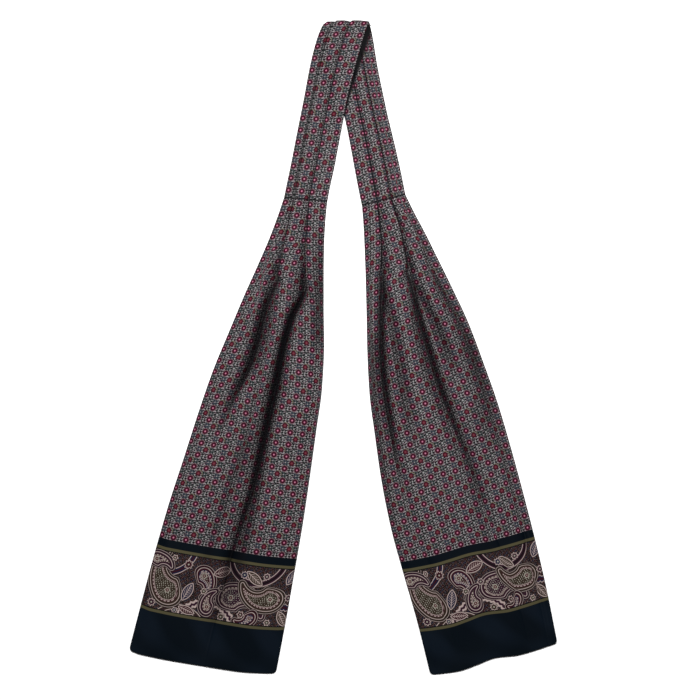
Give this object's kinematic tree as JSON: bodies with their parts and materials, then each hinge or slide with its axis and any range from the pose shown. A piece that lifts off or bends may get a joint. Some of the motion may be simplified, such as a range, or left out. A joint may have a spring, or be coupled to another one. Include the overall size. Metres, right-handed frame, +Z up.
{
  "type": "silk cravat",
  "caption": "Silk day cravat laid flat: a pleated neckband folded over once, opening into two wide flat blades with a printed border above each hem.",
  "frame": {"origin": "Middle of the bounding box in plan, on the surface that the cravat lies on.", "axes": "+Z up from that surface, +Y from the blade hems to the fold of the neckband, +X to the right of a viewer who looks down with the fold at the top."},
  "size_m": [0.405, 0.6205, 0.0163],
  "materials": {
    "printed_silk_left_front": "satin",
    "printed_silk_left_back": "satin",
    "printed_silk_right_front": "satin",
    "printed_silk_right_back": "satin",
    "printed_silk_band_left": "satin",
    "printed_silk_band_right": "satin"
  },
  "bodies": {
    "root": {"left_blade_front": "printed_silk_left_front", "left_blade_back": "printed_silk_left_back", "right_blade_front": "printed_silk_right_front", "right_blade_back": "printed_silk_right_back", "neckband_left": "printed_silk_band_left", "neckband_right": "printed_silk_band_right"}
  },
  "joints": []
}
